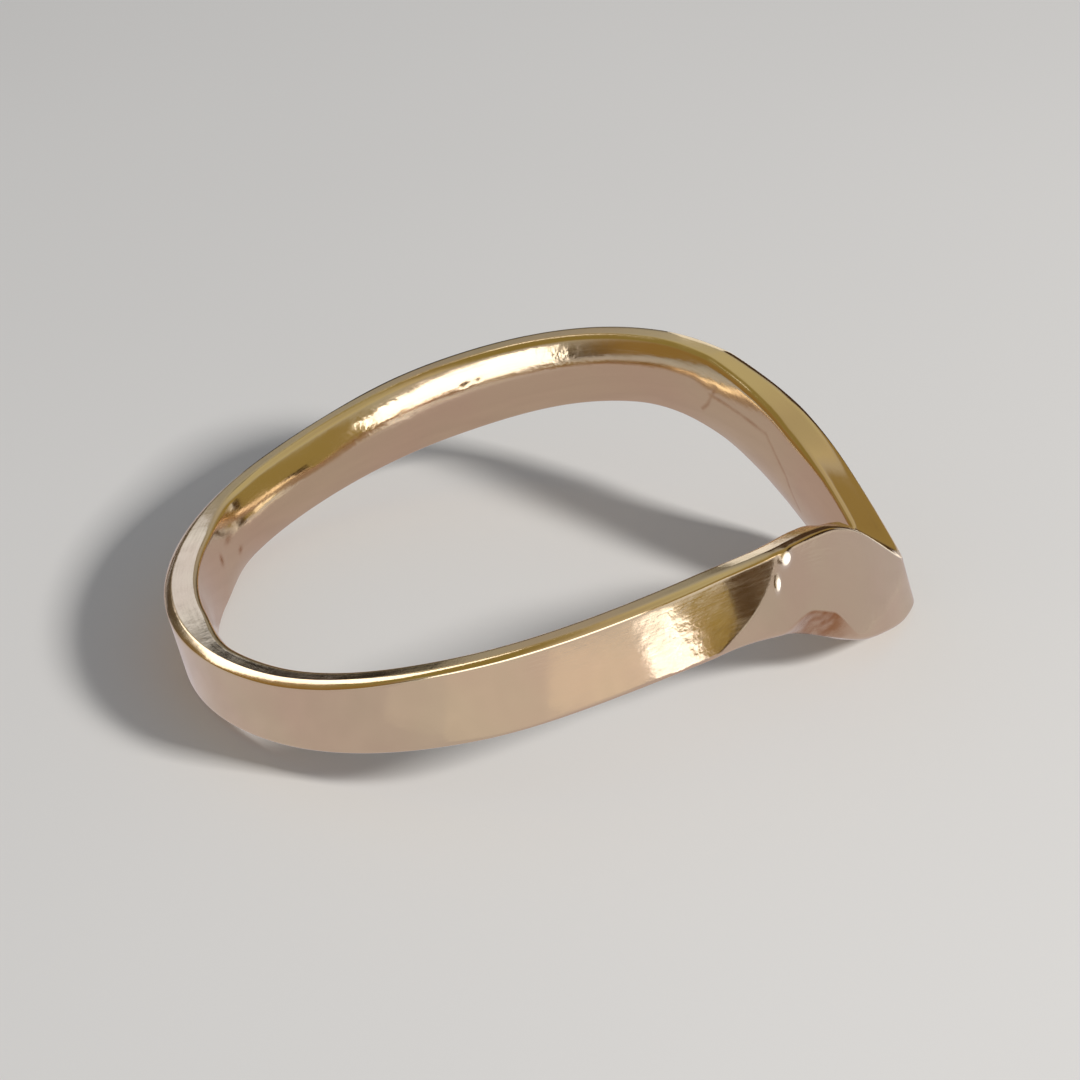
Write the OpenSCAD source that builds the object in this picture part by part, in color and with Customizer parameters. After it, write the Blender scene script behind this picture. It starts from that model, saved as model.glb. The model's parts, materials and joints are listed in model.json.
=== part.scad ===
// Plain wishbone ring: a flat court band whose two legs run down to a V.
// The ring lies as it rests by itself, on the foot of the V and on the back of the shank.
// X points to the V, Z is up, the floor is Z = 0. Angles are counted round the finger
// from the V, sizes are in millimetres.

/* [Shank] */
// Radius of the round shank at its outer face
outer_r = 9.35; // [7:0.05:12]
// Width of the band, measured along the finger
band_w = 2.1; // [1.2:0.05:4]
// Thickness of the band at its edges
edge_t = 0.74; // [0.5:0.02:1.6]
// Thickness of the band at the ridge of the V
ridge_t = 1.1; // [0.5:0.02:1.8]
// Rise of the domed inner face above its edges
dome_h = 0.26; // [0:0.02:0.6]
// Thickness of the band's edges at its back, where it was sized with a flatter piece
back_t = 0.98; // [0.5:0.02:1.6]
// Rise of the inner face there
back_dome = 0.08; // [0:0.02:0.6]

/* [Wishbone] */
// Angle at which the lower edge of a leg leaves the round shank
crease_low = 59; // [40:1:70]
// Angle at which the upper edge of a leg leaves the round shank
crease_high = 41.5; // [32:1:70]
// Turn of the outer face at the crease
crease_bend = 7; // [0:0.5:10]
// Height over which the crease is eased away on the inner face
crease_ease = 0.08; // [0.02:0.01:0.2]
// Distance from the middle of the shank to the ridge of the V
ridge_reach = 10.32; // [9.6:0.02:12]
// Drop of the lower edge from the shank to the foot of the V
v_depth = 4.05; // [1:0.05:7]
// Softness of the ridge where the two legs meet
ridge_soft = 0.3; // [0.02:0.02:0.8]
// Rise of the upper edge from the outer to the inner face at the ridge
rim_rise = 1.25; // [0:0.05:1.5]

/* [Edges] */
// How far the edges beside the outer face are rounded up and down that face
outer_round = 0.14; // [0.04:0.01:0.3]
// How far the edges beside the outer face are rounded into the thickness
outer_roll = 0.24; // [0.04:0.01:0.35]
// Radius of the edges beside the inner face, which flow into its dome
inner_round = 0.26; // [0.04:0.01:0.4]
// Radius of those edges at the back
back_round = 0.14; // [0.04:0.01:0.4]
// Height of the hollow filed into the lower outer edge of each leg
heel_height = 0.75; // [0.1:0.05:1]
// Depth of that hollow, inwards from the outer face
heel_depth = 0.55; // [0.1:0.05:0.65]
// Depth of metal worn flat at the two places where the ring rests
worn_flat = 0.04; // [0:0.01:0.1]

/* [Smoothness] */
// Sections along each leg
leg_steps = 28; // [8:1:40]
// Sections along each half of the round shank
shank_steps = 24; // [8:1:48]
// Points on each rounded edge
edge_steps = 3; // [2:1:6]
// Points across the domed inner face
dome_steps = 8; // [4:2:16]

/* [Hidden] */
gold = [0.83, 0.66, 0.42];

// Drops of the edges along a leg and into the shank, as shares of v_depth
ANGLE = 0;  // angle from the V
UPPER = 1;  // drop of the upper edge
LOWER = 2;  // drop of the lower edge
DROPS = [
    [0, 1.13, 1.00],
    [6.5, 0.83, 0.94],
    [13.5, 0.54, 0.83],
    [20.5, 0.34, 0.70],
    [26.5, 0.235, 0.53],
    [33, 0.15, 0.35],
    [41.5, 0.055, 0.155],
    [54, -0.045, -0.008],
    [72, -0.095, -0.075],
    [97, -0.075, -0.04],
    [134, 0, 0]
];
// The stretch of each leg whose lower outer edge is filed
heel_from = 23.5;
heel_to = 44;
// Stretches over which the hollow sinks in beside the foot and runs out to the shank
heel_rise = 6;
heel_run = 10;
// How far to either side of the crease its easing may reach
ease_reach = 12;
// Curve of the crease: 1 is straight, and more keeps it steep for longer
crease_curve = 1.7;
// Angle at which the rise of the rim has run out
rim_to = 21;
// Angle at which a leg has the shank's thickness
thick_to = 54;
// Stretch over which the band gets the section of its back
back_from = 148;
back_run = 18;
// Stretch beside the ridge over which the sections turn to the mirror plane
fan = 10;
// Angle from which the sections are spaced evenly
even_from = 62;

function unit(a) = [cos(a), sin(a)];
function mix(a, b, t) = a + (b - a) * t;
function smooth(t) = let (c = max(0, min(1, t))) c * c * (3 - 2 * c);
function soft(x, r) = sqrt(x * x + r * r) - r;

// Angle of the crease at height share h: steep in its upper part, then running out
function crease(h) = mix(crease_high, crease_low, pow(1 - h, crease_curve));

// Outer face of a leg at height share h: a shallow arc from the crease to the ridge,
// as [centre, radius, angle between the mirror plane and the leg at the ridge]
function leg_arc(h) = let (
    a = crease(h),
    ridge = [ridge_reach, 0],
    chord = outer_r * unit(a) - ridge,
    heading = atan2(chord.y, chord.x),
    half_turn = 90 + a - crease_bend - heading,
    r = norm(chord) / 2 / sin(half_turn),
    left = [-chord.y, chord.x] / norm(chord))
    [ridge + chord / 2 + left * r * cos(half_turn), r, 180 - heading + half_turn];

// How far that arc lies outside the round shank along the ray at angle a
function rise_at(a, h) = let (arc = leg_arc(h), c = arc[0], along = unit(a) * c)
    along + sqrt(along * along - c * c + arc[1] * arc[1]) - outer_r;

// Share of that arc in the face at angle a. The crease is sharp where e is 0, as on the
// outer face, and otherwise eased over the height e.
function leg_share(a, h, e) = let (beyond = a - crease(h))
    beyond <= -ease_reach ? 1 : beyond >= ease_reach ? 0
    : e == 0 ? (beyond < 0 ? 1 : 0)
    : max(0, min(1, (e - rise_at(a, h)) / 2 / e));

// Radius of the face at angle a: the leg's arc, then the round shank beyond the crease
function face_r(a, h, e) = let (w = leg_share(a, h, e))
    outer_r + (w == 1 ? rise_at(a, h) : -e * w * w);

// Point of the face, with the ridge softened
function face_point(a, h, e) = let (p = face_r(a, h, e) * unit(a)) a > 90 ? p
    : [p.x - (soft(p.y, ridge_soft) + ridge_soft - p.y) / tan(leg_arc(h)[2]), p.y];

// Direction in which the thickness is laid off, turned to the mirror plane at the ridge
function leg_normal(a, h) = let (arc = leg_arc(h))
    ((outer_r + rise_at(a, h)) * unit(a) - arc[0]) / arc[1];
function face_normal(a, h, e) = let (w = leg_share(a, h, e))
    w == 0 ? unit(a) : mix(unit(a), leg_normal(a, h), w);
function depth_dir(a, h, e) = a >= fan ? face_normal(a, h, e)
    : mix([1 / sin(leg_arc(h)[2]), 0], face_normal(a, h, e), a / fan);

// Smooth curve through one column of the table, with the slope at each row
// taken from its neighbours
function slope(i, col) = let (m = max(i - 1, 0), n = min(i + 1, len(DROPS) - 1))
    n == i ? 0 : (DROPS[n][col] - DROPS[m][col]) / (DROPS[n][ANGLE] - DROPS[m][ANGLE]);
function row_of(a, i = 0) = i >= len(DROPS) - 2 || a < DROPS[i + 1][ANGLE] ? i
    : row_of(a, i + 1);
function share(a, col) = a >= DROPS[len(DROPS) - 1][ANGLE] ? 0
    : let (i = row_of(a), w = DROPS[i + 1][ANGLE] - DROPS[i][ANGLE],
        t = (a - DROPS[i][ANGLE]) / w)
        (1 + 2 * t) * (1 - t) * (1 - t) * DROPS[i][col]
        + t * (1 - t) * (1 - t) * w * slope(i, col)
        + t * t * (3 - 2 * t) * DROPS[i + 1][col]
        - t * t * (1 - t) * w * slope(i + 1, col);
soft_angle = ridge_soft / ridge_reach * 180 / PI;
function upper_z(a) = band_w / 2 - v_depth * share(soft(a, soft_angle), UPPER);
function lower_z(a) = -band_w / 2 - v_depth * share(soft(a, soft_angle), LOWER);

// Share of the filed hollow
function heel(a) = smooth((a - heel_from) / heel_rise) * smooth((heel_to - a) / heel_run);
function back(a) = smooth((a - back_from) / back_run);
function rim(a) = rim_rise * (1 - smooth(a / rim_to));
function thickness(a) = mix(mix(ridge_t, edge_t, smooth(a / thick_to)), back_t, back(a));

// A turn with the radii r about c, from one angle to the other, in steps. As flat goes
// from 0 to 1, it turns into the straight line between its ends.
function corner(c, r, from, to, flat = 0) = [for (i = [0:edge_steps]) let (
    k = i / edge_steps,
    u = mix(unit(mix(from, to, k)), mix(unit(from), unit(to), k), flat))
    [c.x + r.x * u.x, c.y + r.y * u.y]];

// Slope at the ends of a dome of rise d between edges of radius n, in a section of
// height h, found in a few rounds
function dome_slope(h, d, n, rounds = 4, a = 30) = rounds == 0 ? a
    : dome_slope(h, d, n, rounds - 1, atan(2 * d / (h / 2 - n * (1 - sin(a)))));

// Section of the band, of height h and edge thickness t, with the share w of the hollow
// and b of the back: depth below the outer face and height above the lower edge
function section(h, t, w, b) = let (
    o = [outer_roll, outer_round], r = mix(o, [heel_depth, heel_height], w),
    n = mix(inner_round, back_round, b), a = dome_slope(h, mix(dome_h, back_dome, b), n),
    c = t - n * cos(a),
    half = h / 2 - n * (1 - sin(a)), rise = half * tan(a) / 2) concat(
    corner(r, r, 270, 180, w),
    corner([o.x, h - o.y], o, 180, 90),
    corner([c, h - n], [n, n], 90, a),
    [for (i = [1:dome_steps - 1]) let (k = 1 - 2 * i / dome_steps)
        [t + rise * (1 - k * k), h / 2 + half * k]],
    corner([c, n], [n, n], -a, -90));

// One section set up at angle a, on the side given by 1 or -1
function placed(a, side) = let (low = lower_z(a), h = upper_z(a) - low, t = thickness(a))
    [for (q = section(h, t, heel(a), back(a))) let (e = crease_ease * min(q.x / t, 1),
        p = face_point(a, q.y / h, e), m = depth_dir(a, q.y / h, e))
        [p.x - m.x * q.x, side * max(p.y - m.y * q.x, 0),
            low + q.y * (1 + rim(a) * min(q.x / t, 1) / h)]];

angles = concat(
    [for (i = [0:leg_steps - 1]) even_from * pow(i / leg_steps, 1.2)],
    [for (i = [0:shank_steps]) mix(even_from, 180, i / shank_steps)]);
last = len(angles) - 1;
loops = concat(
    [for (i = [0:last]) placed(angles[i], 1)],
    [for (i = [1:last - 1]) placed(angles[last - i], -1)]);
points = [for (l = loops) each l];

// Tilt at which the foot of the V and the back of the shank are level
function tilted(p, a) = [p.x * cos(a) - p.z * sin(a), p.y, p.x * sin(a) + p.z * cos(a)];
function lowest(pts, a, side) = min([for (p = pts) if (side * p.x > 0) tilted(p, a).z]);
function settle(pts, a, n) = n == 0 ? a
    : settle(pts, a - atan((lowest(pts, a, 1) - lowest(pts, a, -1)) / (ridge_reach + outer_r)),
        n - 1);
rest_tilt = settle(points, 0, 5);
rested = [for (p = points) tilted(p, rest_tilt)];
floor_z = min([for (p = rested) p.z]) + worn_flat;
middle_x = (min([for (p = rested) p.x]) + max([for (p = rested) p.x])) / 2;
resting_points = [for (p = rested) [p.x - middle_x, p.y, max(p.z - floor_z, 0)]];

// Faces between neighbouring sections, two triangles for each quarter
function ring_faces(rings, n) = [for (i = [0:rings - 1], j = [0:n - 1]) let (
    a = i * n + j, b = i * n + (j + 1) % n,
    c = ((i + 1) % rings) * n + (j + 1) % n, d = ((i + 1) % rings) * n + j)
    each [[a, b, c], [a, c, d]]];

module band() {
    color(gold)
        polyhedron(resting_points, ring_faces(len(loops), len(loops[0])), convexity = 6);
}

band();
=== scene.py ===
"""Plain polished gold wishbone ring, lying as it rests on a pale studio floor.

The ring is one surface: the section of a flat court band carried round the finger.
Its sizes are those of the CAD part. They are kept in metres, and angles round the finger
are counted from the point of the V. The far side of the ring is at +Y.
"""

import json
import math

import bpy
import numpy as np
from bpy.props import FloatProperty, FloatVectorProperty, IntProperty, PointerProperty
from bpy.types import Operator, Panel, PropertyGroup
from mathutils import Matrix, Vector

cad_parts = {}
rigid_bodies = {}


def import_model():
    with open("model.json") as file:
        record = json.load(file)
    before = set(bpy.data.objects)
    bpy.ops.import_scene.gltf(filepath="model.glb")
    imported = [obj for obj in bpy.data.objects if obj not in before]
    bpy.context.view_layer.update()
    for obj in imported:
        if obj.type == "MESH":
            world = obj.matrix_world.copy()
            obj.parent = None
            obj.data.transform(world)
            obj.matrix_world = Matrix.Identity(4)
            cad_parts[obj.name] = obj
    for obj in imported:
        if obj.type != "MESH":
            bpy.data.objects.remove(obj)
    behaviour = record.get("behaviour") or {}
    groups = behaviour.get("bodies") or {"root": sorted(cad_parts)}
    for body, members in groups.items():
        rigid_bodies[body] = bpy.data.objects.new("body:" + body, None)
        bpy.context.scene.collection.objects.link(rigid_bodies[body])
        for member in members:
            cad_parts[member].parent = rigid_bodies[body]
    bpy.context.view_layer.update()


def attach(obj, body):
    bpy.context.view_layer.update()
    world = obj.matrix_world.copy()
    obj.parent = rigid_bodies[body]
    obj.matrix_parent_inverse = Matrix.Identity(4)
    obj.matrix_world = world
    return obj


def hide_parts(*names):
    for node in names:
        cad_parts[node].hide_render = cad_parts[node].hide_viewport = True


bl_info = {
    "name": "Wishbone Ring",
    "version": (1, 0, 0),
    "blender": (4, 5, 0),
    "location": "View3D > Sidebar > Ring",
    "description": "Builds a plain polished gold wishbone ring and its studio",
    "category": "Object",
}

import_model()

MM = 0.001


# Colour

def linear(hex_colour):
    """An sRGB hex colour as linear red, green, blue."""
    parts = [int(hex_colour[i:i + 2], 16) / 255 for i in (0, 2, 4)]
    return tuple(c / 12.92 if c <= 0.04045 else ((c + 0.055) / 1.055) ** 2.4 for c in parts)


# Settings

def length(name, description, millimetres):
    """A size in metres whose default is given in millimetres."""
    return FloatProperty(name=name, description=description, default=millimetres * MM,
                         min=0.0, unit="LENGTH", precision=5)


def angle(name, description, degrees):
    """An angle whose default is given in degrees."""
    return FloatProperty(name=name, description=description,
                         default=math.radians(degrees), subtype="ANGLE")


def colour(name, description, hex_colour):
    """A colour whose default is given as sRGB hex."""
    return FloatVectorProperty(name=name, description=description, size=3, min=0.0, max=1.0,
                               default=linear(hex_colour), subtype="COLOR")


def glow(name, description, brightness):
    """A brightness, where one shows as white."""
    return FloatProperty(name=name, description=description, default=brightness, min=0.0)


class WishboneSizes(PropertyGroup):
    """Sizes of the ring."""
    outer_r: length("Outer radius", "Radius of the round shank at its outer face", 9.35)
    band_w: length("Band width", "Width of the band, measured along the finger", 2.1)
    edge_t: length("Edge thickness", "Thickness of the band at its edges", 0.74)
    ridge_t: length("Ridge thickness", "Thickness of the band at the ridge of the V", 1.1)
    dome_h: length("Dome height", "Rise of the domed inner face above its edges", 0.26)
    back_t: length("Back thickness", "Thickness of the band's edges at its sized back", 0.98)
    back_dome: length("Back dome", "Rise of the inner face there", 0.08)
    crease_low: angle("Lower crease", "Angle at which a leg's lower edge leaves the shank", 59)
    crease_high: angle("Upper crease", "Angle at which a leg's upper edge leaves the shank", 41.5)
    crease_bend: angle("Crease bend", "Turn of the outer face at the crease", 7)
    crease_ease: length("Crease easing", "Height of the inner face's easing there", 0.08)
    ridge_reach: length("Ridge reach", "From the middle of the shank to the ridge", 10.32)
    v_depth: length("Depth of the V", "Drop of the lower edge to the foot of the V", 4.05)
    ridge_soft: length("Ridge softness", "Softness of the ridge between the legs", 0.3)
    rim_rise: length("Rim rise", "Rise of the upper edge's inner side at the ridge", 1.25)
    outer_round: length("Outer edge height", "Height of the rounding beside the outer face", 0.14)
    outer_roll: length("Outer edge depth", "Depth of the rounding beside the outer face", 0.24)
    inner_round: length("Inner edge radius", "Radius of the edges beside the inner face", 0.26)
    back_round: length("Back edge radius", "Radius of those edges at the back", 0.14)
    heel_height: length("Hollow height", "Height of the hollow filed below each leg", 0.75)
    heel_depth: length("Hollow depth", "Depth of that hollow from the outer face", 0.55)
    worn_flat: length("Worn flat", "Depth worn flat where the ring rests", 0.04)
    leg_steps: IntProperty(name="Leg steps", description="Sections along each leg",
                           default=170, min=8)
    shank_steps: IntProperty(name="Shank steps", default=190, min=8,
                             description="Sections along each half of the shank")


class GoldFinish(PropertyGroup):
    """Colours and polish of the gold."""
    gold: colour("Gold", "Colour of the polished 9 carat gold", "DDC9AB")
    blush: colour("Blush", "Gold where the copper in it shows", "DCC1A8")
    # Brown: painted shade in the filed hollows; also the tint of the brown patches near the back
    # and of the scored lines
    stain: colour("Stain", "Gold browned by heat in its hollows and lines", "A8744A")
    # Dark colour in the pits
    pit_dark: colour("Tarnish", "Dark dirt in the pits", "5A4A30")
    # Painted highlight: the white painted on the two raised beads beside the plate
    painted_bead_highlight: colour("Flux", "Beads of white borax flux", "FBF6EC")
    polish: FloatProperty(name="Polish", description="Roughness where it is best polished",
                          default=0.1, min=0.0, max=1.0, subtype="FACTOR")
    wear: FloatProperty(name="Wear", description="Roughness that wear adds", default=0.12,
                        min=0.0, max=1.0, subtype="FACTOR")


class RingStudio(PropertyGroup):
    """Floor and lights."""
    floor: colour("Floor", "Colour of the pale floor", "DAD8D7")
    key_light: glow("Key light", "Brightness of the small light that casts the shadow", 132)
    window_light: glow("Window light", "Brightness of the wide light in front", 2.4)
    left_light: glow("Left light", "Brightness of the light behind to the left", 2.3)
    spark_light: glow("Spark light", "Brightness of the low light to the right", 2.2)
    room: glow("Room", "Brightness of the room", 1)


# Shape of the ring

# Drops of the edges along a leg and into the shank, as shares of the depth of the V.
# Each row is the angle from the V in degrees, the upper edge's drop and the lower edge's.
DROPS = np.array([
    (0, 1.13, 1.00),
    (6.5, 0.83, 0.94),
    (13.5, 0.54, 0.83),
    (20.5, 0.34, 0.70),
    (26.5, 0.235, 0.53),
    (33, 0.15, 0.35),
    (41.5, 0.055, 0.155),
    (54, -0.045, -0.008),
    (72, -0.095, -0.075),
    (97, -0.075, -0.04),
    (134, 0, 0),
])
ANGLE, UPPER, LOWER = 0, 1, 2
# Power of the crease's curve, and the angle to each side within which it is eased
CREASE_CURVE, EASE_REACH = 1.7, math.radians(12)
# The outer face's crease is a touch softer than the CAD part's, so that it shades cleanly
OUTER_EASE = 0.012 * MM
# Where the hollow filed below a leg starts and ends, and the angles it deepens and fades in
HEEL_FROM, HEEL_TO = math.radians(23.5), math.radians(44)
HEEL_RISE, HEEL_RUN = math.radians(6), math.radians(10)
# Where the raised rim ends, and where the thickness comes down to the shank's
RIM_TO, THICK_TO = math.radians(21), math.radians(54)
# Where the sized back starts, and the angle in which its section is reached
BACK_FROM, BACK_RUN = math.radians(148), math.radians(18)
# Angle from the ridge within which the thickness turns towards the mirror plane
FAN = math.radians(10)
# Sections are evenly spaced from here on, and crowd towards the ridge by this power
EVEN_FROM, CROWDING = math.radians(62), 1.2
# Wear has rubbed the upper outer edge of the back half nearly flat
WORN_FROM, WORN_RUN, WORN_SHARE = math.radians(105), math.radians(18), 0.8
# Rounds in which the dome's slope and the tilt at rest are found, and the slope's first guess
SLOPE_ROUNDS, SETTLE_ROUNDS = 4, 6
FIRST_SLOPE = math.radians(30)

# Points on each part of the section
EDGE_STEPS, FACE_STEPS, SIDE_STEPS, DOME_STEPS = 8, 34, 10, 48
# The parts of the section, in order
LOW_EDGE, OUTER_FACE, HIGH_EDGE, TOP, INNER_HIGH, DOME, INNER_LOW, BOTTOM = range(8)


def mix(a, b, t):
    """Straight blend from a to b."""
    return a + (b - a) * t


def smooth(t):
    """Smooth step: three t squared less two t cubed, between 0 and 1."""
    c = np.clip(t, 0, 1)
    return c * c * (3 - 2 * c)


def soft(x, r):
    """Distance from zero with its point rounded: root of x squared and r squared, less r."""
    return np.sqrt(x * x + r * r) - r


def crease(h, s):
    """Angle of the crease at height share h: its upper angle, changing to its lower one
    with a power of the distance from the upper edge."""
    return mix(s.crease_high, s.crease_low, np.maximum(1 - h, 0) ** CREASE_CURVE)


def heel_share(a):
    """Share of the filed hollow in the lower outer edge at angle a."""
    return smooth((a - HEEL_FROM) / HEEL_RISE) * smooth((HEEL_TO - a) / HEEL_RUN)


def leg_arc(h, s):
    """A leg's outer face at height share h, seen along the finger: the circle that ends at
    the ridge and meets the shank at the crease with the crease's bend. Gives its centre,
    its radius and its angle with the mirror plane at the ridge."""
    a = crease(h, s)
    across, along = s.outer_r * np.cos(a) - s.ridge_reach, s.outer_r * np.sin(a)
    heading = np.arctan2(along, across)
    half_turn = math.pi / 2 + a - s.crease_bend - heading
    chord = np.hypot(across, along)
    r = chord / 2 / np.sin(half_turn)
    shift = r * np.cos(half_turn) / chord
    centre_x = s.ridge_reach + across / 2 - along * shift
    centre_y = along / 2 + across * shift
    return centre_x, centre_y, r, math.pi - heading + half_turn


def rise_at(a, h, s):
    """How far a leg's arc lies outside the round shank along the ray at angle a."""
    cx, cy, r, _ = leg_arc(h, s)
    along = np.cos(a) * cx + np.sin(a) * cy
    return along + np.sqrt(np.maximum(along * along - cx * cx - cy * cy + r * r, 0)) - s.outer_r


def leg_share(a, h, e, s):
    """Share of the leg's arc in the face at angle a: one before the crease and zero beyond
    it, with a change spread over the heights at which the arc is within e of the shank."""
    beyond = a - crease(h, s)
    share = np.clip((e - rise_at(a, h, s)) / (2 * e), 0, 1)
    return np.where(beyond <= -EASE_REACH, 1, np.where(beyond >= EASE_REACH, 0, share))


def face(a, h, e, s):
    """Point of the face at angle a and height share h, and the direction in which the
    thickness is laid off. On the shank both follow the circle. On a leg the ray at angle a
    is met with the leg's arc, and the direction is square to the arc, turned to the mirror
    plane beside the ridge, which is rounded. The crease between the two is eased over e:
    there the radius is the shank's less e times the square of the leg's share."""
    cx, cy, r, lean = leg_arc(h, s)
    rise, w = rise_at(a, h, s), leg_share(a, h, e, s)
    reach = s.outer_r + np.where(w == 1, rise, -e * w * w)
    x, y = reach * np.cos(a), reach * np.sin(a)
    square_x = mix(np.cos(a), ((s.outer_r + rise) * np.cos(a) - cx) / r, w)
    square_y = mix(np.sin(a), ((s.outer_r + rise) * np.sin(a) - cy) / r, w)
    t = np.clip(a / FAN, 0, 1)
    rounding = (soft(y, s.ridge_soft) + s.ridge_soft - y) / np.tan(lean)
    x = np.where(a > math.pi / 2, x, x - rounding)
    return x, y, mix(1 / np.sin(lean), square_x, t), square_y * t


def drop(a, column):
    """Share of the V's depth by which an edge has dropped at angle a: a cubic through the
    table's rows whose slope at each row is taken from the rows beside it."""
    rows, values = np.radians(DROPS[:, ANGLE]), DROPS[:, column]
    before, after = np.maximum(np.arange(len(rows) - 1) - 1, 0), np.arange(1, len(rows))
    slopes = np.append((values[after] - values[before]) / (rows[after] - rows[before]), 0)
    i = np.clip(np.searchsorted(rows, a, side="right") - 1, 0, len(rows) - 2)
    width = rows[i + 1] - rows[i]
    t = np.clip((a - rows[i]) / width, 0, 1)
    value = ((1 + 2 * t) * (1 - t) ** 2 * values[i] + t * (1 - t) ** 2 * width * slopes[i]
             + t * t * (3 - 2 * t) * values[i + 1] - t * t * (1 - t) * width * slopes[i + 1])
    return np.where(a >= rows[-1], 0, value)


def corner(cx, cy, rx, ry, start, end, flat=0.0):
    """A turn on an ellipse about (cx, cy), from one angle to the other. As flat goes from
    zero to one it turns into the straight line between its ends."""
    start, end, flat = (np.broadcast_to(v, cx.shape)[:, None] for v in (start, end, flat))
    k = np.arange(EDGE_STEPS + 1) / EDGE_STEPS
    u = mix(start, end, k)
    across = mix(np.cos(u), mix(np.cos(start), np.cos(end), k), flat)
    up = mix(np.sin(u), mix(np.sin(start), np.sin(end), k), flat)
    return np.stack([cx[:, None] + rx[:, None] * across, cy[:, None] + ry[:, None] * up], -1)


def between(first, second, steps):
    """Points inside the straight line from the end of one part to the start of the next."""
    t = (np.arange(1, steps) / steps)[None, :, None]
    return first[:, -1:] * (1 - t) + second[:, :1] * t


def band_sections(height, thickness, heel, back, worn, s):
    """The band's section for each height and thickness, with the shares of the filed
    hollow, of the sized back and of wear: a flat outer face, four rounded edges and a domed
    inner face, which rises as one less the square of the distance from its middle line and
    meets its edges without a kink. Each point is (depth below the outer face, height above
    the lower edge). Also gives, for each point, the part it is on and its share along it."""
    one = np.ones_like(height)
    roll, lift = s.outer_roll * one, s.outer_round * one
    n, dome_h = mix(s.inner_round, s.back_round, back), mix(s.dome_h, s.back_dome, back)
    low_x, low_y = mix(roll, s.heel_depth, heel), mix(lift, s.heel_height, heel)
    slope = FIRST_SLOPE * one
    for _ in range(SLOPE_ROUNDS):
        slope = np.arctan(2 * dome_h / (height / 2 - n * (1 - np.sin(slope))))
    half = height / 2 - n * (1 - np.sin(slope))
    deep = thickness - n * np.cos(slope)
    quarter = math.pi / 2
    low = corner(low_x, low_y, low_x, low_y, 3 * quarter, 2 * quarter, heel)
    high = corner(roll, height - lift, roll, lift, 2 * quarter, quarter, worn)
    inner_high = corner(deep, height - n, n, n, quarter, slope)
    inner_low = corner(deep, n, n, n, -slope, -quarter)
    k = 1 - 2 * np.arange(1, DOME_STEPS) / DOME_STEPS
    rise = (half * np.tan(slope) / 2)[:, None] * (1 - k * k)
    dome = np.stack([thickness[:, None] + rise, (height / 2)[:, None] + half[:, None] * k], -1)
    parts = [low, between(low, high, FACE_STEPS), high,
             between(high, inner_high, SIDE_STEPS), inner_high, dome, inner_low,
             between(inner_low, low, SIDE_STEPS)]
    part = np.concatenate([np.full(p.shape[1], i) for i, p in enumerate(parts)])
    share = np.concatenate([np.linspace(0, 1, p.shape[1]) for p in parts])
    return np.concatenate(parts, 1), part, share


def settled(points, s):
    """The points turned about Y until the foot of the V and the back of the shank are
    level, then set on the floor with the worn flats cut, and centred along X."""
    tilt = 0.0
    for _ in range(SETTLE_ROUNDS):
        rise = points[..., 0] * math.sin(tilt) + points[..., 2] * math.cos(tilt)
        run = points[..., 0] * math.cos(tilt) - points[..., 2] * math.sin(tilt)
        gap = rise[run > 0].min() - rise[run < 0].min()
        tilt -= math.atan(gap / (s.ridge_reach + s.outer_r))
    rise = points[..., 0] * math.sin(tilt) + points[..., 2] * math.cos(tilt)
    run = points[..., 0] * math.cos(tilt) - points[..., 2] * math.sin(tilt)
    rise = np.maximum(rise - rise.min() - s.worn_flat, 0)
    run = run - (run.min() + run.max()) / 2
    return np.stack([run, points[..., 1], rise], -1)


def ring_surface(s):
    """The whole ring as a grid of points: one row for each section, from the ridge of the V
    round the far side to the back, and on round the near side. Also gives the angle of
    each row, and the part and share of each point of a section."""
    leg = EVEN_FROM * (np.arange(s.leg_steps) / s.leg_steps) ** CROWDING
    a = np.concatenate([leg, np.linspace(EVEN_FROM, math.pi, s.shank_steps + 1)])
    eased = soft(a, s.ridge_soft / s.ridge_reach)
    upper = s.band_w / 2 - s.v_depth * drop(eased, UPPER)
    lower = -s.band_w / 2 - s.v_depth * drop(eased, LOWER)
    height = upper - lower
    back = smooth((a - BACK_FROM) / BACK_RUN)
    thickness = mix(mix(s.ridge_t, s.edge_t, smooth(a / THICK_TO)), s.back_t, back)
    worn = WORN_SHARE * smooth((a - WORN_FROM) / WORN_RUN)
    q, part, share = band_sections(height, thickness, heel_share(a), back, worn, s)
    inwards = np.minimum(q[..., 0] / thickness[:, None], 1)
    ease = np.maximum(s.crease_ease * inwards, OUTER_EASE)
    x, y, deep_x, deep_y = face(a[:, None], q[..., 1] / height[:, None], ease, s)
    rim = (s.rim_rise * (1 - smooth(a / RIM_TO)) / height)[:, None]
    half = np.stack([x - deep_x * q[..., 0], np.maximum(y - deep_y * q[..., 0], 0),
                     lower[:, None] + q[..., 1] * (1 + rim * inwards)], -1)
    near = half[-2:0:-1] * (1, -1, 1)
    points = settled(np.concatenate([half, near]), s)
    return points, np.concatenate([a, -a[-2:0:-1]]), part, share


def grid_normals(points):
    """Outward direction at each point of a closed grid: the cross product of its two
    central differences."""
    along = np.roll(points, -1, 0) - np.roll(points, 1, 0)
    around = np.roll(points, -1, 1) - np.roll(points, 1, 1)
    normal = np.cross(along, around)
    return normal / np.maximum(np.linalg.norm(normal, axis=-1, keepdims=True), 1e-15)
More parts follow.
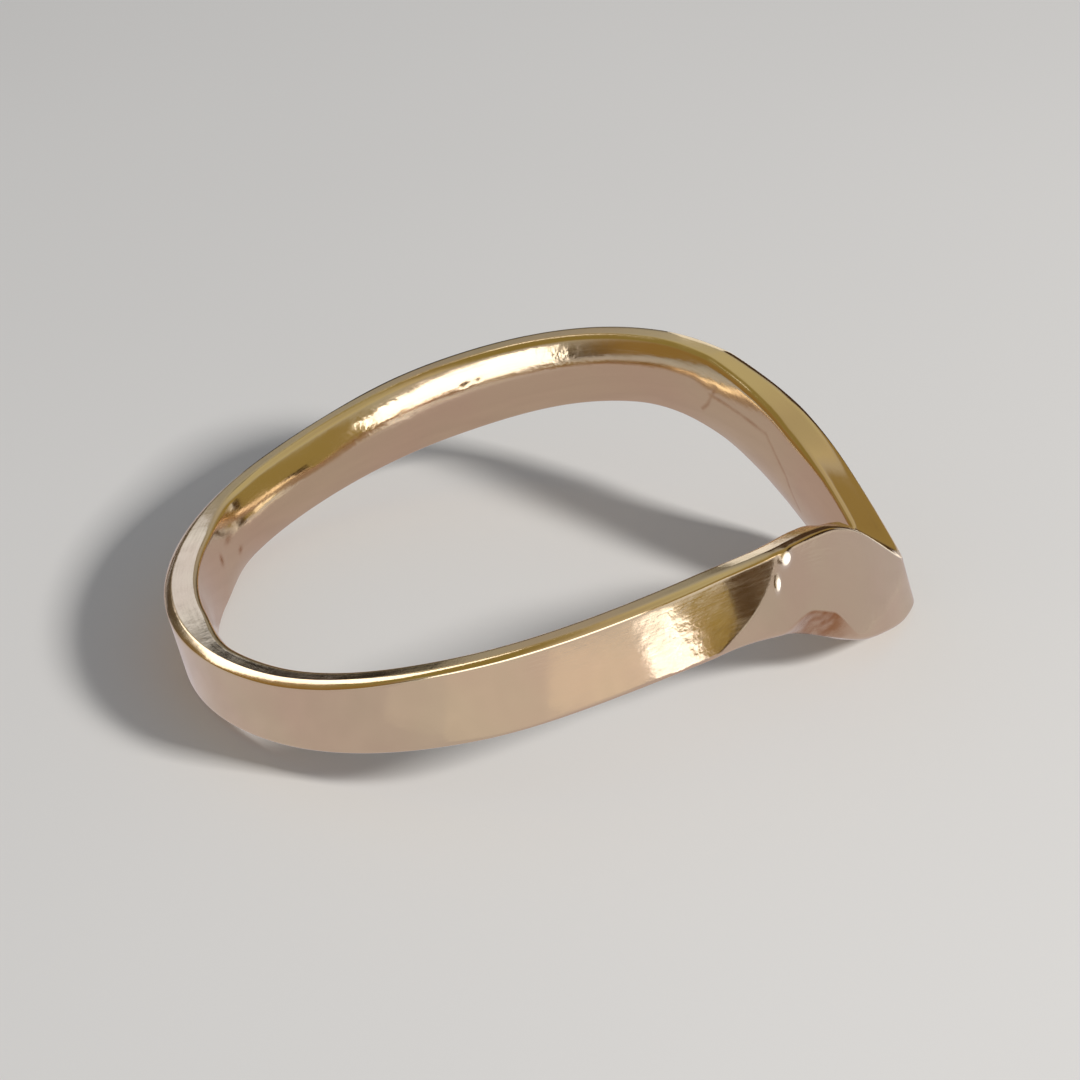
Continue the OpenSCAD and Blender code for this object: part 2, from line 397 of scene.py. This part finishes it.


# Marks on the band: pits and wrinkles of hand work and wear, raised beads whose white is a
# painted highlight, and brown patches of colour alone. Each is its kind, the angle round
# the finger in degrees (negative on the near side), the part of the section, the share
# along that part, the radius in millimetres along and across the band, and its height in
# millimetres.
MARKS = [
    ("pit", 95.2, DOME, 0.27, 0.07, 0.04, -0.012),
    ("pit", 94.3, DOME, 0.23, 0.09, 0.04, -0.012),
    ("pit", 91.8, DOME, 0.24, 0.06, 0.04, -0.012),
    ("bead", -39.0, OUTER_FACE, 0.94, 0.22, 0.18, 0.12),
    ("bead", -42.3, OUTER_FACE, 0.66, 0.10, 0.20, 0.08),
    ("stain", 158.3, DOME, 0.28, 0.20, 0.10, 0.0),
    ("stain", 155.2, DOME, 0.63, 0.12, 0.10, 0.0),
    ("stain", 163.9, DOME, 0.39, 0.10, 0.16, 0.0),
    ("wrinkle", -63.0, OUTER_FACE, 0.35, 0.9, 0.9, 0.0),
    ("wrinkle", 113.0, DOME, 0.18, 1.2, 0.5, 0.0),
    ("wrinkle", 76.0, DOME, 0.18, 0.9, 0.4, 0.0),
]
# Fine scored lines on the far leg's inner face, as angles in degrees and shares of its dome
SCORES = [
    ((44.9, 42.9, 40.4), (0.65, 0.50, 0.20)),
    ((42.0, 35.2, 26.2, 21.7, 20.3), (0.33, 0.26, 0.17, 0.39, 0.70)),
]
# Their width and depth in millimetres, their share of stain, the points that each is worked
# out at, and the rows of the grid beside it that it can reach
SCORE_WIDTH, SCORE_DEPTH, SCORE_STAIN = 0.05, 0.006, 0.6
SCORE_POINTS, SCORE_REACH = 90, 4


def scored_line(points, angles, part, line_angles, line_shares):
    """Points along a line on the inner face, straight between its knots, and the first and
    last row of the grid that it can reach."""
    t = np.linspace(0, len(line_angles) - 1, SCORE_POINTS)
    knots, half = np.arange(len(line_angles)), len(angles) // 2
    rows = np.interp(np.radians(np.interp(t, knots, line_angles)), angles[:half],
                     np.arange(half))
    dome = np.flatnonzero(part == DOME)
    columns = dome[0] + np.interp(t, knots, line_shares) * (len(dome) - 1)
    i, j = rows.astype(int), columns.astype(int)
    u, v = (rows - i)[:, None], (columns - j)[:, None]
    line = mix(mix(points[i, j], points[i + 1, j], u),
               mix(points[i, j + 1], points[i + 1, j + 1], u), v)
    return line, i.min() - SCORE_REACH, i.max() + SCORE_REACH


def marked(points, angles, part, share):
    """The points moved in or out by each mark: its height times a bell, which is e to the
    power of less the square of the distance from the mark's middle, counted in its radii.
    Also gives the share of each point in each kind of mark."""
    normal = grid_normals(points)
    moved = points.copy()
    shares = {kind: np.zeros(points.shape[:2]) for kind in ("pit", "bead", "stain", "wrinkle")}
    for kind, degrees, where, at, along, across, height in MARKS:
        row = np.argmin(np.abs(angles - math.radians(degrees)))
        column = np.argmin(np.where(part == where, np.abs(share - at), np.inf))
        ahead = points[(row + 1) % len(points), column] - points[row, column]
        ahead /= np.linalg.norm(ahead)
        away = points - points[row, column]
        run = away @ ahead
        side = np.sqrt(np.maximum((away ** 2).sum(-1) - run ** 2, 0))
        bell = np.exp(-(run / (along * MM)) ** 2 - (side / (across * MM)) ** 2)
        moved += normal * (bell * height * MM)[..., None]
        shares[kind] = np.maximum(shares[kind], bell)
    for line_angles, line_shares in SCORES:
        line, first, last = scored_line(points, angles, part, line_angles, line_shares)
        beside = slice(first, last + 1)
        away = points[beside, :, None] - line
        bell = np.exp(-(away ** 2).sum(-1).min(-1) / (SCORE_WIDTH * MM) ** 2)
        moved[beside] -= normal[beside] * (bell * SCORE_DEPTH * MM)[..., None]
        shares["stain"][beside] = np.maximum(shares["stain"][beside], SCORE_STAIN * bell)
    moved[..., 2] = np.maximum(moved[..., 2], 0)
    return moved, shares


def closed_grid_mesh(name, points):
    """A mesh of the closed grid, one quad between neighbouring points both ways, with a UV
    map in metres: the mean length along the band and the length round its section."""
    rows, columns = points.shape[:2]
    i, j = np.meshgrid(np.arange(rows), np.arange(columns), indexing="ij")
    next_i, next_j = (i + 1) % rows, (j + 1) % columns
    corners = np.stack([i * columns + j, next_i * columns + j,
                        next_i * columns + next_j, i * columns + next_j], -1).reshape(-1, 4)
    mesh = bpy.data.meshes.new(name)
    mesh.vertices.add(rows * columns)
    mesh.vertices.foreach_set("co", points.astype(np.float32).ravel())
    mesh.loops.add(corners.size)
    mesh.loops.foreach_set("vertex_index", corners.astype(np.int32).ravel())
    mesh.polygons.add(len(corners))
    mesh.polygons.foreach_set("loop_start", np.arange(0, corners.size, 4, dtype=np.int32))
    mesh.polygons.foreach_set("use_smooth", np.ones(len(corners), bool))
    mesh.update(calc_edges=True)
    steps = np.linalg.norm(np.roll(points, -1, 0) - points, axis=-1).mean(1)
    around = np.linalg.norm(np.roll(points, -1, 1) - points, axis=-1).mean(0)
    u = np.concatenate([[0], np.cumsum(steps)])
    v = np.concatenate([[0], np.cumsum(around)])
    uv = np.stack([np.stack([u[i], u[i + 1], u[i + 1], u[i]], -1),
                   np.stack([v[j], v[j], v[j + 1], v[j + 1]], -1)], -1)
    layer = mesh.uv_layers.new(name="along_and_around")
    layer.data.foreach_set("uv", uv.astype(np.float32).ravel())
    return mesh


def add_attribute(mesh, name, values):
    """One number for each vertex."""
    layer = mesh.attributes.new(name, "FLOAT", "POINT")
    layer.data.foreach_set("value", values.astype(np.float32).ravel())


def link_object(name, data, material=None):
    """A new object at the origin, with its place in its mesh."""
    made = bpy.data.objects.new(name, data)
    bpy.context.scene.collection.objects.link(made)
    if material:
        data.materials.append(material)
    return made


# Materials

def add_node(tree, kind, inputs=None, **settings):
    """Adds a node. Each input is given a value, or the output that is linked to it."""
    node = tree.nodes.new(kind)
    for name, value in settings.items():
        setattr(node, name, value)
    for name, value in (inputs or {}).items():
        if isinstance(value, bpy.types.NodeSocket):
            tree.links.new(value, node.inputs[name])
        else:
            node.inputs[name].default_value = value
    return node


def new_material(name):
    """An empty node material and its tree."""
    material = bpy.data.materials.new(name)
    material.use_nodes = True
    material.node_tree.nodes.clear()
    return material, material.node_tree


def per_mm(millimetres):
    """A texture's scale for features of that size."""
    return 1 / (millimetres * MM)


# Where most of a noise texture's values lie
NOISE_SPAN = {"From Min": 0.35, "From Max": 0.65}


def polished_9ct_gold(finish):
    """9 carat yellow gold, filed, then polished by hand on a mop. The alloy is pale, and a
    little copper shows as a blush. The mop leaves slow ripples that wrinkle what the band
    mirrors, and wear adds fine lines along the band and a soft bloom. The filed hollows are
    painted brown as shade, and brown also tints patches near the back and the scored lines.
    The pits are painted dark, and two raised beads beside the soldered plate are painted
    white and not metal, as a painted highlight."""
    material, tree = new_material("polished_9ct_gold")
    place = add_node(tree, "ShaderNodeTexCoord")
    pit, bead, stain, wrinkle, hollow = (
        add_node(tree, "ShaderNodeAttribute", attribute_name=name).outputs["Fac"]
        for name in ("pit", "bead", "stain", "wrinkle", "hollow"))

    # Blush, in patches some 4 mm across
    patches = add_node(tree, "ShaderNodeTexNoise", {
        "Vector": place.outputs["Object"], "Scale": per_mm(4), "Detail": 2.0})
    blush = add_node(tree, "ShaderNodeMapRange", {
        "Value": patches.outputs["Fac"], "From Min": 0.4, "From Max": 0.64, "To Max": 0.8})
    gold = add_node(tree, "ShaderNodeMix", {
        "Factor": blush.outputs["Result"], "A": (*finish.gold, 1), "B": (*finish.blush, 1)},
        data_type="RGBA")

    # Brown mottled at 0.35 mm: in the filed hollows it is painted shade, and it also tints the
    # brown patches and the scored lines
    mottle = add_node(tree, "ShaderNodeTexNoise", {
        "Vector": place.outputs["Object"], "Scale": per_mm(0.35), "Detail": 3.0})
    spread = add_node(tree, "ShaderNodeMapRange", {
        "Value": mottle.outputs["Fac"], **NOISE_SPAN, "To Min": 0.55, "To Max": 1.0})
    either = add_node(tree, "ShaderNodeMath", {0: hollow, 1: stain}, operation="MAXIMUM")
    brown_amount = add_node(tree, "ShaderNodeMath", {
        0: either.outputs[0], 1: spread.outputs["Result"]}, operation="MULTIPLY",
        use_clamp=True)
    brown_mixed = add_node(tree, "ShaderNodeMix", {
        "Factor": brown_amount.outputs[0], "A": gold.outputs["Result"],
        "B": (*finish.stain, 1)}, data_type="RGBA")
    pits_darkened = add_node(tree, "ShaderNodeMix", {
        "Factor": pit, "A": brown_mixed.outputs["Result"],
        "B": (*finish.pit_dark, 1)}, data_type="RGBA")
    # Painted highlight: the beads are painted near white
    body = add_node(tree, "ShaderNodeMix", {
        "Factor": bead, "A": pits_darkened.outputs["Result"],
        "B": (*finish.painted_bead_highlight, 1)}, data_type="RGBA")

    # Wear: fine lines along the band, 0.05 mm apart and 2 mm long, which is coarser than
    # real polishing lines so that they show, and a bloom in patches of 0.8 mm
    stretched = add_node(tree, "ShaderNodeMapping", {
        "Vector": place.outputs["UV"], "Scale": (per_mm(2), per_mm(0.05), 1)})
    lines = add_node(tree, "ShaderNodeTexNoise", {
        "Vector": stretched.outputs["Vector"], "Scale": 1.0, "Detail": 2.0},
        noise_dimensions="2D")
    bloom = add_node(tree, "ShaderNodeTexNoise", {
        "Vector": place.outputs["Object"], "Scale": per_mm(0.8), "Detail": 3.0})
    worn = add_node(tree, "ShaderNodeMath", {
        0: lines.outputs["Fac"], 1: bloom.outputs["Fac"]}, operation="MULTIPLY")
    rough = add_node(tree, "ShaderNodeMapRange", {
        "Value": worn.outputs[0], "From Min": 0.12, "From Max": 0.5,
        "To Min": finish.polish, "To Max": finish.polish + finish.wear})
    duller = add_node(tree, "ShaderNodeMath", {
        0: brown_amount.outputs[0], 1: 0.2, 2: rough.outputs["Result"]}, operation="MULTIPLY_ADD")
    satin = add_node(tree, "ShaderNodeMath", {
        0: bead, 1: 0.3, 2: duller.outputs[0]}, operation="MULTIPLY_ADD")

    # Ripples 1.4 mm long left by the mop, and a peel of 0.25 mm, deeper where a file has
    # wrinkled the face
    ripple = add_node(tree, "ShaderNodeTexNoise", {
        "Vector": place.outputs["Object"], "Scale": per_mm(1.4), "Detail": 1.0})
    peel = add_node(tree, "ShaderNodeTexNoise", {
        "Vector": place.outputs["Object"], "Scale": per_mm(0.25), "Detail": 2.0})
    deeper = add_node(tree, "ShaderNodeMath", {
        0: wrinkle, 1: 0.75, 2: 0.25}, operation="MULTIPLY_ADD")
    rippled = add_node(tree, "ShaderNodeBump", {
        "Height": ripple.outputs["Fac"], "Distance": 0.02 * MM, "Strength": 1.0})
    peeled = add_node(tree, "ShaderNodeBump", {
        "Height": peel.outputs["Fac"], "Distance": 0.012 * MM,
        "Strength": deeper.outputs[0], "Normal": rippled.outputs["Normal"]})
    lined = add_node(tree, "ShaderNodeBump", {
        "Height": lines.outputs["Fac"], "Distance": 0.0005 * MM, "Strength": 1.0,
        "Normal": peeled.outputs["Normal"]})

    # The beads' white is a painted highlight, so the metal ends at their edge
    bare = add_node(tree, "ShaderNodeMapRange", {
        "Value": bead, "From Min": 0.3, "From Max": 0.6, "To Min": 1.0, "To Max": 0.0})
    shader = add_node(tree, "ShaderNodeBsdfPrincipled", {
        "Base Color": body.outputs["Result"], "Metallic": bare.outputs["Result"],
        "Roughness": satin.outputs[0], "Normal": lined.outputs["Normal"]})
    add_node(tree, "ShaderNodeOutputMaterial", {"Surface": shader.outputs["BSDF"]})
    return material


def matt_pale_board(settings):
    """Pale uncoated board, pressed flat between rollers: it scatters all light evenly, so it
    is a soft light grey without sheen, a little cloudy from the pulp."""
    material, tree = new_material("matt_pale_board")
    place = add_node(tree, "ShaderNodeTexCoord")
    cloud = add_node(tree, "ShaderNodeTexNoise", {
        "Vector": place.outputs["Object"], "Scale": per_mm(30), "Detail": 1.0})
    tone = add_node(tree, "ShaderNodeMapRange", {
        "Value": cloud.outputs["Fac"], "To Min": 0.97, "To Max": 1.03})
    toned = add_node(tree, "ShaderNodeVectorMath", {
        0: settings.floor, "Scale": tone.outputs["Result"]}, operation="SCALE")
    shader = add_node(tree, "ShaderNodeBsdfPrincipled", {
        "Base Color": toned.outputs["Vector"], "Roughness": 1.0, "Specular IOR Level": 0.0})
    add_node(tree, "ShaderNodeOutputMaterial", {"Surface": shader.outputs["BSDF"]})
    return material


def plain_card(name, hex_colour, brightness, mottle):
    """Coloured paper card lit from behind, so that it shines by itself, soft and even but
    for the mottling of its fibres at 1 mm, by the share given."""
    material, tree = new_material(name)
    place = add_node(tree, "ShaderNodeTexCoord")
    cloud = add_node(tree, "ShaderNodeTexNoise", {
        "Vector": place.outputs["Object"], "Scale": per_mm(1), "Detail": 2.0})
    strength = add_node(tree, "ShaderNodeMapRange", {
        "Value": cloud.outputs["Fac"], **NOISE_SPAN,
        "To Min": brightness * (1 - mottle), "To Max": brightness * (1 + mottle)})
    shader = add_node(tree, "ShaderNodeEmission", {
        "Color": (*linear(hex_colour), 1), "Strength": strength.outputs["Result"]})
    add_node(tree, "ShaderNodeOutputMaterial", {"Surface": shader.outputs["Emission"]})
    return material


# Stage

# Camera, fitted to the photograph. Angles are in degrees, lengths in millimetres. It is
# placed about the middle of the shank's circle, then turned right and down by a few pixels,
# so that no lens shift is needed. Those and the focal length are in pixels of the frame.
CAMERA_AZIMUTH, CAMERA_ELEVATION, CAMERA_ROLL = -1.4, 27.1, 2.4
CAMERA_DISTANCE, CAMERA_AIM = 118.0, (-0.862, 0.0, 2.947)
FRAME, FOCAL, TURN_RIGHT, TURN_DOWN = 1080, 4369.5, 33.3, 5.9
SENSOR_WIDTH = 36

FLOOR_RADIUS = 600

# Lights: name, azimuth and elevation in degrees, distance, width and height in millimetres,
# and colour. The key light's direction is fitted to the shadow. The others light the gold
# alone.
KEY_LIGHT = ("key_light", -31, 30, 300, 50, 50, "FFFDF8")
GOLD_LIGHTS = [
    ("window_light", -88, 14, 260, 380, 150, "FFFFFF"),
    ("left_light", 136, 36, 250, 130, 150, "FFFEFA"),
    ("spark_light", 5, 5, 250, 50, 30, "FFF4DC"),
]

# The room that the gold mirrors, by the direction looked in. Each shade has its height, as
# the sine of the elevation. Each tint laid over them has a pair for X and one for height,
# which say where it starts and where it is full, and then its colour.
ROOM_SHADES = [
    (0.0, (0.06, 0.045, 0.03, 1)),
    (0.2, (0.12, 0.10, 0.06, 1)),
    (0.36, (0.37, 0.36, 0.31, 1)),
    (0.6, (0.50, 0.48, 0.38, 1)),
    (0.8, (0.60, 0.55, 0.32, 1)),
    (1.0, (0.50, 0.45, 0.27, 1)),
]
ROOM_TINTS = [
    ((0.35, 0.65), (0.7, 0.55), (0.35, 0.27, 0.09, 1)),
    ((-0.6, -0.85), (0.75, 0.6), (0.31, 0.20, 0.06, 1)),
    ((-0.05, -0.3), (0.5, 0.7), (0.30, 0.24, 0.07, 1)),
]
# The even grey that lights the floor, and the pale one that the camera sees
FILL, BACKDROP = (0.31, 0.32, 0.33, 1), (0.60, 0.59, 0.58, 1)

# Cards that show in the gold alone. Each is its name, colour, brightness, mottling and
# corners in millimetres: first those that lie on the floor, then those that stand behind
# the ring and beside it. The widest one lies lower, so that the others cover it.
LOW, LOWER_YET = 0.05, 0.02
CARDS = [
    ("under_card", "E0D8DB", 0.77, 0.03, [
        (-19.0, 13.0, LOWER_YET), (9.0, 13.0, LOWER_YET), (12.4, 3.0, LOWER_YET),
        (12.2, -13.0, LOWER_YET), (5.0, -15.5, LOWER_YET), (-4.0, -17.0, LOWER_YET),
        (-19.0, -15.5, LOWER_YET)]),
    ("soft_card", "E7E0E0", 0.795, 0.03, [
        (-9.5, -18.5, LOW), (-6.0, -19.0, LOW), (-4.0, -11.4, LOW), (-6.5, -10.6, LOW)]),
    ("inside_card", "E0D3D2", 0.66, 0.03, [
        (-8.2, -0.5, LOW), (-6.5, -5.0, LOW), (0.0, -7.6, LOW), (6.0, -5.6, LOW),
        (9.0, 0.0, LOW), (8.8, 4.5, LOW), (6.8, 8.5, LOW), (8.6, 12.9, LOW),
        (-12.0, 12.9, LOW), (-9.6, 4.0, LOW)]),
    ("plate_card", "DED8DA", 0.74, 0.03, [
        (12.2, -8.0, LOW), (16.5, -7.2, LOW), (22.5, -3.4, LOW), (22.5, 14.0, LOW),
        (13.3, 14.0, LOW), (12.4, 5.0, LOW), (12.4, 0.0, LOW)]),
    ("middle_card", "EEE6E4", 0.81, 0.03, [
        (-6.0, -19.0, LOW), (2.5, -18.5, LOW), (0.5, -14.5, LOW), (5.0, -14.0, LOW),
        (5.0, -12.2, LOW), (-4.0, -11.4, LOW)]),
    ("bright_card", "FFF6EC", 0.88, 0.05, [
        (2.5, -18.5, LOW), (9.6, -18.0, LOW), (7.8, -14.5, LOW), (5.0, -14.0, LOW),
        (0.5, -14.5, LOW)]),
    ("white_card", "FFFFFF", 2.3, 0.6, [
        (14.1, -18.0, LOW), (9.7, -17.0, LOW), (7.9, -15.0, LOW), (7.9, -12.2, LOW),
        (11.8, -12.2, LOW), (13.8, -15.0, LOW)]),
    ("olive_card", "AB985A", 1.0, 0.15, [
        (14.2, -18.0, LOW), (13.9, -15.0, LOW), (12.3, -12.8, LOW), (12.2, -11.4, LOW),
        (14.0, -11.4, LOW), (17.2, -10.9, LOW), (20.9, -12.4, LOW), (18.4, -15.6, LOW)]),
    ("brown_card", "5C4A34", 1.0, 0.6, [
        (21.0, -12.5, LOW), (17.2, -11.0, LOW), (14.0, -11.5, LOW), (12.0, -12.0, LOW),
        (11.3, -10.0, LOW), (14.0, -9.2, LOW), (17.0, -7.8, LOW), (20.0, -5.8, LOW),
        (23.0, -4.2, LOW), (33.0, -3.0, LOW), (33.0, -14.0, LOW)]),
    ("rim_floor_card", "FFF8EA", 1.3, 0.1, [
        (9.2, 3.0, LOW), (12.2, 5.0, LOW), (13.2, 12.0, LOW), (9.2, 12.0, LOW)]),
    ("behind_card", "5A4730", 1.0, 0.1, [
        (-24.0, 15.0, LOW), (17.0, 15.0, LOW), (17.0, 50.0, LOW), (-24.0, 50.0, LOW)]),
    ("pale_card", "E0EAF8", 1.2, 0.1, [
        (-15.5, 14.0, 6.7), (-11.8, 14.0, 6.7), (-11.8, 14.0, 10.4), (-15.5, 14.0, 10.4)]),
    ("black_card", "1E1814", 1.0, 0.0, [
        (-15.5, 14.0, 10.5), (-8.2, 14.0, 10.5), (-8.2, 14.0, 14.6), (-15.5, 14.0, 14.6)]),
    ("rim_card", "F4F2EA", 1.15, 0.1, [
        (6.6, 12.0, 0.1), (8.8, 12.0, 0.1), (8.6, 12.0, 2.4), (7.6, 12.0, 5.2),
        (6.9, 12.0, 7.2), (6.6, 12.0, 9.2), (4.6, 12.0, 9.2), (4.6, 12.0, 4.7),
        (6.6, 12.0, 4.7)]),
    ("edge_card", "2E241A", 1.0, 0.0, [
        (-9.0, 12.1, 0.1), (0.0, 12.1, 0.1), (0.0, 12.1, 4.6), (-9.0, 12.1, 4.6)]),
    ("corner_card", "4A3826", 1.0, 0.0, [
        (6.7, 12.1, 0.1), (16.0, 12.1, 0.1), (16.0, 12.1, 13.0), (10.6, 12.1, 13.0),
        (10.3, 12.1, 10.3), (6.7, 12.1, 10.3)]),
    ("side_card", "3C2C1C", 1.0, 0.0, [
        (14.5, -1.5, 3.0), (14.5, 2.6, 3.0), (14.5, 3.0, 4.0), (14.5, 3.0, 7.2),
        (14.5, -1.5, 7.2)]),
]


def camera_axes():
    """The camera's right, up and forward directions from its azimuth, elevation and roll."""
    a, e, r = (math.radians(v) for v in (CAMERA_AZIMUTH, CAMERA_ELEVATION, CAMERA_ROLL))
    right = Vector((math.cos(a), math.sin(a), 0))
    up = Vector((-math.sin(a) * math.sin(e), math.cos(a) * math.sin(e), math.cos(e)))
    ahead = Vector((-math.sin(a) * math.cos(e), math.cos(a) * math.cos(e), -math.sin(e)))
    return right * math.cos(r) - up * math.sin(r), right * math.sin(r) + up * math.cos(r), ahead


def place_camera():
    """Sets up the camera at the photograph's viewing angle."""
    right, up, ahead = camera_axes()
    place = Vector(CAMERA_AIM) - ahead * CAMERA_DISTANCE
    ahead = (ahead + right * TURN_RIGHT / FOCAL - up * TURN_DOWN / FOCAL).normalized()
    right = ahead.cross(up).normalized()
    up = right.cross(ahead)
    data = bpy.data.cameras.new("camera")
    data.lens, data.sensor_width = SENSOR_WIDTH * FOCAL / FRAME, SENSOR_WIDTH
    data.clip_start, data.clip_end = 5 * MM, 5.0
    camera = link_object("camera", data)
    turn = Matrix((right, up, -ahead)).transposed().to_4x4()
    camera.matrix_world = Matrix.Translation(place * MM) @ turn
    bpy.context.scene.camera = camera


def light_gold_only(source):
    """Links a light or card to the ring alone, so that it neither lights nor marks the
    floor."""
    if "gold_only" not in bpy.data.collections:
        gold = [o for o in bpy.data.objects if o.name.startswith("polished_band")]
        if not gold:
            raise RuntimeError("the band is built before its lights")
        made = bpy.data.collections.new("gold_only")
        for piece in gold:
            made.objects.link(piece)
    source.light_linking.receiver_collection = bpy.data.collections["gold_only"]


def aimed_light(name, azimuth, elevation, distance, width, height, hex_colour, brightness):
    """A rectangular light aimed at the ring. Its power is its brightness times pi times
    its area, so that brightness is what shows of it in the gold."""
    data = bpy.data.lights.new(name, "AREA")
    data.shape, data.size, data.size_y = "RECTANGLE", width * MM, height * MM
    data.color = linear(hex_colour)
    data.energy = brightness * math.pi * data.size * data.size_y
    a, e = math.radians(azimuth), math.radians(elevation)
    away = Vector((math.cos(a) * math.cos(e), math.sin(a) * math.cos(e), math.sin(e)))
    light = link_object(name, data)
    light.matrix_world = (Matrix.Translation(away * distance * MM)
                          @ away.to_track_quat("Z", "Y").to_matrix().to_4x4())
    light.visible_camera = False
    return light


def set_room(room):
    """The room's light by height, dim at the floor and pale above it, with a warm olive to
    the right, to the left lower down, and overhead to the left. That is what the gold
    mirrors: the floor is lit by an even grey, and the camera sees a pale one."""
    world = bpy.data.worlds.new("room")
    world.use_nodes = True
    tree = world.node_tree
    tree.nodes.clear()
    place = add_node(tree, "ShaderNodeTexCoord")
    split = add_node(tree, "ShaderNodeSeparateXYZ", {"Vector": place.outputs["Generated"]})
    ramp = add_node(tree, "ShaderNodeValToRGB", {"Fac": split.outputs["Z"]})
    stops = ramp.color_ramp.elements
    for _ in ROOM_SHADES[2:]:
        stops.new(1.0)
    for stop, (height, shade) in zip(stops, ROOM_SHADES):
        stop.position, stop.color = height, shade
    shown = ramp.outputs["Color"]
    for sideways, upwards, tint in ROOM_TINTS:
        amounts = [
            add_node(tree, "ShaderNodeMapRange", {
                "Value": split.outputs[axis], "From Min": none_at, "From Max": full_at},
                interpolation_type="SMOOTHSTEP").outputs["Result"]
            for axis, (none_at, full_at) in (("X", sideways), ("Z", upwards))]
        amount = add_node(tree, "ShaderNodeMath", dict(enumerate(amounts)),
                          operation="MULTIPLY")
        shown = add_node(tree, "ShaderNodeMix", {
            "Factor": amount.outputs[0], "A": shown, "B": tint},
            data_type="RGBA").outputs["Result"]
    path = add_node(tree, "ShaderNodeLightPath")
    sided = add_node(tree, "ShaderNodeMix", {
        "Factor": path.outputs["Is Glossy Ray"], "A": FILL, "B": shown},
        data_type="RGBA")
    backed = add_node(tree, "ShaderNodeMix", {
        "Factor": path.outputs["Is Camera Ray"], "A": sided.outputs["Result"],
        "B": BACKDROP}, data_type="RGBA")
    light = add_node(tree, "ShaderNodeBackground", {
        "Color": backed.outputs["Result"], "Strength": room})
    add_node(tree, "ShaderNodeOutputWorld", {"Surface": light.outputs["Background"]})
    bpy.context.scene.world = world


def disc_mesh(name, radius, rings, spokes):
    """A flat disc at the floor's height: rings of points about one at the middle, their
    radii growing with the square of their number."""
    r = radius * (np.arange(1, rings + 1) / rings) ** 2
    a = 2 * math.pi * np.arange(spokes) / spokes
    round_points = np.stack([r[:, None] * np.cos(a), r[:, None] * np.sin(a),
                             np.zeros((rings, spokes))], -1).reshape(-1, 3)
    points = np.concatenate([[(0, 0, 0)], round_points])
    i, j = np.meshgrid(np.arange(rings - 1), np.arange(spokes), indexing="ij")
    k = (j + 1) % spokes
    quads = 1 + np.stack([i * spokes + j, (i + 1) * spokes + j,
                          (i + 1) * spokes + k, i * spokes + k], -1).reshape(-1, 4)
    first = np.arange(spokes)
    middle = np.stack([0 * first, 1 + first, 1 + (first + 1) % spokes], -1)
    mesh = bpy.data.meshes.new(name)
    mesh.from_pydata(points.tolist(), [], middle.tolist() + quads.tolist())
    mesh.update()
    return mesh


# Operators

class OBJECT_OT_wishbone_band(Operator):
    """Build the ring's band, which stands for the CAD node of that name"""
    bl_idname = "object.wishbone_band"
    bl_label = "Build Wishbone Band"

    def execute(self, context):
        sizes, finish = context.scene.wishbone_sizes, context.scene.gold_finish
        points, angles, part, share = ring_surface(sizes)
        points, marks = marked(points, angles, part, share)
        if not np.isfinite(points).all():
            raise RuntimeError("these sizes don't close the band")
        mesh = closed_grid_mesh("polished_band", points)
        for kind, values in marks.items():
            add_attribute(mesh, kind, values)
        # Where the filed hollow is, the gold is painted brown as shade
        hollow = heel_share(np.abs(angles))[:, None] * (part == LOW_EDGE)
        add_attribute(mesh, "hollow", hollow)
        band = link_object("polished_band", mesh, polished_9ct_gold(finish))
        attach(band, "root")
        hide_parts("band")
        return {"FINISHED"}


class SCENE_OT_ring_studio(Operator):
    """Set up the floor, the lights, the cards and the camera"""
    bl_idname = "scene.ring_studio"
    bl_label = "Set Up Ring Studio"

    def execute(self, context):
        settings = context.scene.ring_studio
        disc = disc_mesh("floor", FLOOR_RADIUS * MM, rings=24, spokes=96)
        floor = link_object("floor", disc, matt_pale_board(settings))
        for name, hex_colour, brightness, mottle, corners in CARDS:
            mesh = bpy.data.meshes.new(name)
            mesh.from_pydata((np.array(corners) * MM).tolist(), [], [range(len(corners))])
            card = link_object(name, mesh, plain_card(name, hex_colour, brightness, mottle))
            card.visible_camera = card.visible_diffuse = card.visible_shadow = False
            light_gold_only(card)
        key = aimed_light(*KEY_LIGHT, settings.key_light)
        key.visible_glossy = False
        for light in GOLD_LIGHTS:
            light_gold_only(aimed_light(*light, getattr(settings, light[0])))
        set_room(settings.room)
        place_camera()
        context.scene.view_settings.view_transform = "Standard"
        return {"FINISHED"}


class VIEW3D_PT_wishbone_ring(Panel):
    """Sizes, finish and operators of the ring"""
    bl_label = "Wishbone Ring"
    bl_space_type = "VIEW_3D"
    bl_region_type = "UI"
    bl_category = "Ring"

    def draw(self, context):
        for settings, operator in (
                ((context.scene.wishbone_sizes, context.scene.gold_finish),
                 OBJECT_OT_wishbone_band),
                ((context.scene.ring_studio,), SCENE_OT_ring_studio)):
            box = self.layout.box()
            for group in settings:
                for name in group.__annotations__:
                    box.prop(group, name)
            box.operator(operator.bl_idname)


CLASSES = (WishboneSizes, GoldFinish, RingStudio, OBJECT_OT_wishbone_band,
           SCENE_OT_ring_studio, VIEW3D_PT_wishbone_ring)
SETTINGS = {"wishbone_sizes": WishboneSizes, "gold_finish": GoldFinish,
            "ring_studio": RingStudio}


def register():
    for made in CLASSES:
        bpy.utils.register_class(made)
    for name, group in SETTINGS.items():
        setattr(bpy.types.Scene, name, PointerProperty(type=group))


def unregister():
    for name in SETTINGS:
        delattr(bpy.types.Scene, name)
    for made in reversed(CLASSES):
        bpy.utils.unregister_class(made)


def main():
    """Builds everything."""
    register()
    bpy.ops.object.wishbone_band()
    bpy.ops.scene.ring_studio()


if __name__ == "__main__":
    main()
